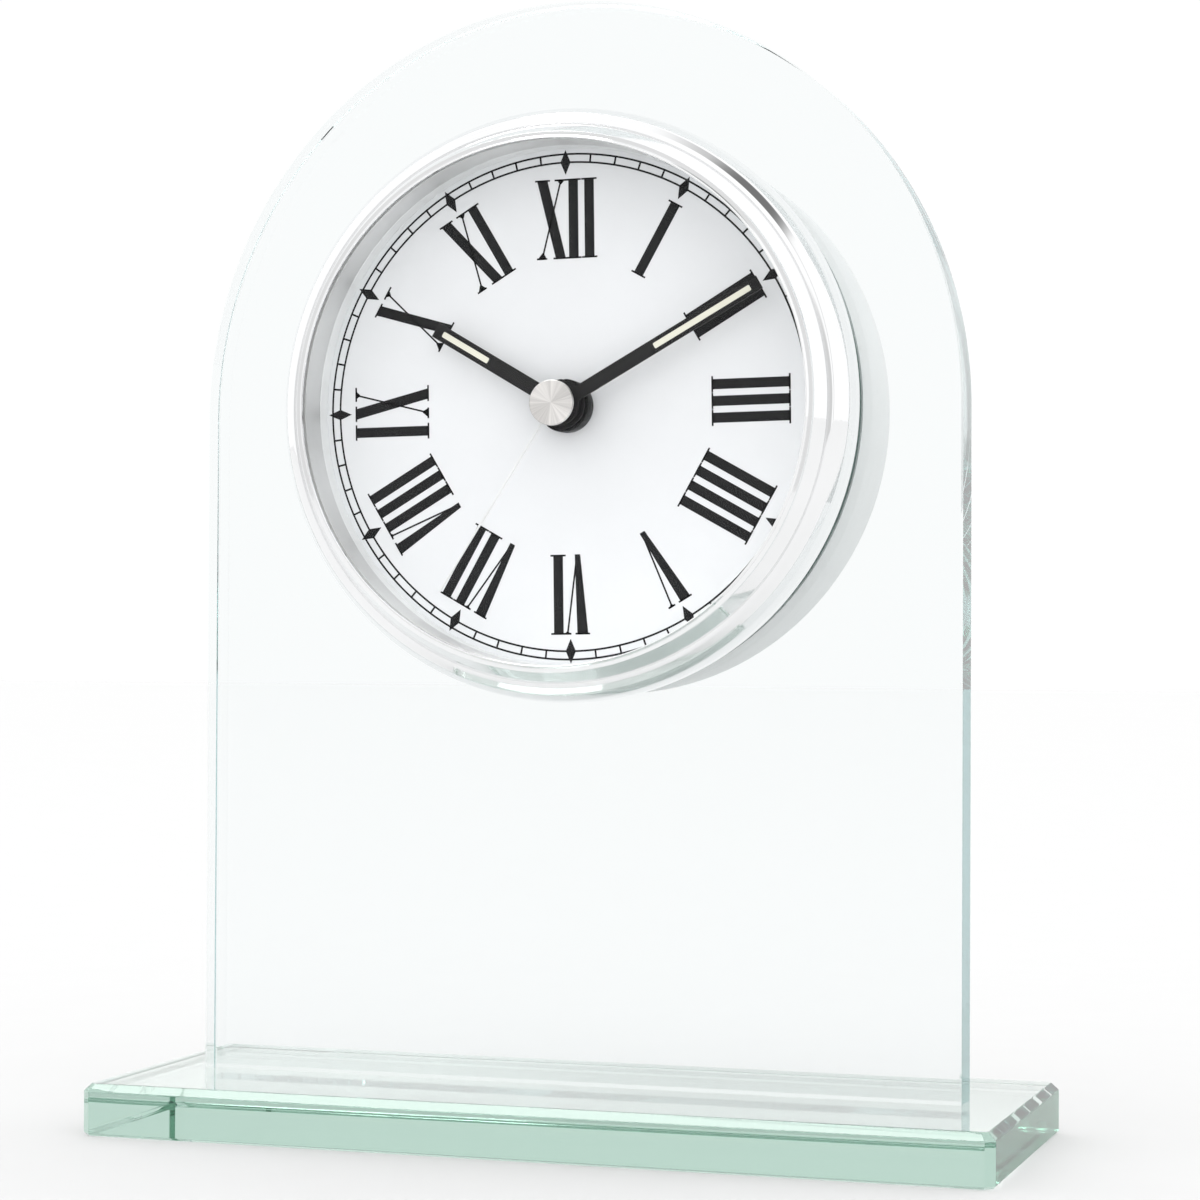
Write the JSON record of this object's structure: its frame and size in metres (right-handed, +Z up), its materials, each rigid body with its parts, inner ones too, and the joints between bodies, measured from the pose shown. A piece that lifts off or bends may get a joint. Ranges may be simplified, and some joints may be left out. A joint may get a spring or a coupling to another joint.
{
  "type": "mantel clock",
  "caption": "Glass mantel clock: a round quartz insert with a chromed bezel, set in an arch-topped glass plate that stands on a glass slab.",
  "frame": {"origin": "centre of the base slab's underside", "axes": "+Z up, the dial faces -Y, +X to the right as seen from the front"},
  "size_m": [0.16, 0.066, 0.199],
  "materials": {
    "clear_glass": "polished clear glass with a green edge tint",
    "lens_glass": "thin clear flat glass",
    "bezel_chrome": "polished chrome",
    "ring_chrome": "polished chrome sleeve",
    "spacer_plastic": "pale satin plastic",
    "dial_white": "white matt lacquer with charcoal print",
    "gasket_rubber": "dark rubber",
    "screw_steel": "zinc-plated steel",
    "case_plastic": "satin silver-white plastic",
    "knob_plastic": "black plastic",
    "hub_black": "black coated brass",
    "movement_plastic": "black moulded plastic",
    "bridge_plastic": "grey moulded plastic",
    "gear_plastic": "natural acetal",
    "rotor_magnet": "sintered magnet on a plastic pinion",
    "stator_iron": "soft iron plate",
    "copper_wire": "enamelled copper winding",
    "board_green": "circuit board",
    "crystal_can": "drawn metal can",
    "cell_sleeve": "plain printed sleeve over a metal can",
    "contact_steel": "nickel-plated spring steel",
    "hand_black": "charcoal black lacquer",
    "inlay_cream": "cream luminous filling",
    "second_silver": "pale grey lacquer",
    "cap_aluminium": "sunray-brushed aluminium"
  },
  "bodies": {
    "clock_body": {"glass_base": "clear_glass", "glass_arch": "clear_glass", "lens": "lens_glass", "bezel": "bezel_chrome", "inner_ring": "ring_chrome", "dial_spacer": "spacer_plastic", "dial": "dial_white", "front_gasket": "gasket_rubber", "rear_gasket": "gasket_rubber", "rubber_washer": "gasket_rubber", "bezel_screws": "screw_steel", "case_screws": "screw_steel", "rear_case": "case_plastic", "dial_carrier": "case_plastic", "dial_nut": "hub_black", "dial_washer": "hub_black", "movement_front": "movement_plastic", "movement_back": "movement_plastic", "movement_bridge": "bridge_plastic", "stator": "stator_iron", "coil": "copper_wire", "circuit_board": "board_green", "quartz_crystal": "crystal_can", "battery": "cell_sleeve", "contact_plus": "contact_steel", "contact_minus": "contact_steel"},
    "second_hand_group": {"seconds_wheel": "gear_plastic", "second_hand": "second_silver", "second_hand_cap": "cap_aluminium"},
    "third_wheel_group": {"third_wheel": "gear_plastic"},
    "middle_wheel_group": {"middle_wheel": "gear_plastic"},
    "rotor_group": {"rotor": "rotor_magnet"},
    "centre_wheel_group": {"centre_wheel": "gear_plastic"},
    "minute_hand_group": {"minute_pipe": "gear_plastic", "minute_hand": "hand_black", "minute_hand_inlay": "inlay_cream"},
    "hour_hand_group": {"hour_wheel": "gear_plastic", "hour_hand": "hand_black", "hour_hand_inlay": "inlay_cream"},
    "motion_wheel_group": {"motion_wheel": "gear_plastic"},
    "setting_group": {"setting_arbor": "gear_plastic", "setting_knob": "knob_plastic"},
    "battery_door_group": {"battery_door": "case_plastic"}
  },
  "joints": [
    {"name": "second_turn", "type": "hinge", "parent": "clock_body", "child": "second_hand_group", "pos_m": [0, 0, 0.1277], "axis": [0, 1, 0], "continuous": true},
    {"name": "third_turn", "type": "hinge", "parent": "clock_body", "child": "third_wheel_group", "pos_m": [-0.01015, 0, 0.13139], "axis": [0, 1, 0], "continuous": true},
    {"name": "middle_turn", "type": "hinge", "parent": "clock_body", "child": "middle_wheel_group", "pos_m": [0.0029, 0, 0.13852], "axis": [0, 1, 0], "continuous": true},
    {"name": "rotor_turn", "type": "hinge", "parent": "clock_body", "child": "rotor_group", "pos_m": [-0.00542, 0, 0.14332], "axis": [0, 1, 0], "continuous": true},
    {"name": "centre_turn", "type": "hinge", "parent": "clock_body", "child": "centre_wheel_group", "pos_m": [0, 0, 0.1277], "axis": [0, 1, 0], "continuous": true},
    {"name": "minute_turn", "type": "hinge", "parent": "clock_body", "child": "minute_hand_group", "pos_m": [0, 0, 0.1277], "axis": [0, 1, 0], "continuous": true},
    {"name": "hour_turn", "type": "hinge", "parent": "clock_body", "child": "hour_hand_group", "pos_m": [0, 0, 0.1277], "axis": [0, 1, 0], "continuous": true},
    {"name": "motion_turn", "type": "hinge", "parent": "clock_body", "child": "motion_wheel_group", "pos_m": [0.01159, 0, 0.13081], "axis": [0, 1, 0], "continuous": true},
    {"name": "setting_turn", "type": "hinge", "parent": "clock_body", "child": "setting_group", "pos_m": [0.0193, 0, 0.14], "axis": [0, 1, 0], "continuous": true},
    {"name": "battery_door_slide", "type": "slide", "parent": "clock_body", "child": "battery_door_group", "axis": [1, 0, 0], "range_m": [0, 0.009]}
  ],
  "couplings": [
    {"joint": "third_turn", "follows": "second_turn", "ratio": -0.125},
    {"joint": "middle_turn", "follows": "second_turn", "ratio": -6},
    {"joint": "rotor_turn", "follows": "second_turn", "ratio": 30},
    {"joint": "centre_turn", "follows": "second_turn", "ratio": 0.016667},
    {"joint": "hour_turn", "follows": "minute_turn", "ratio": 0.083333},
    {"joint": "motion_turn", "follows": "minute_turn", "ratio": -0.33333},
    {"joint": "setting_turn", "follows": "minute_turn", "ratio": 1}
  ]
}
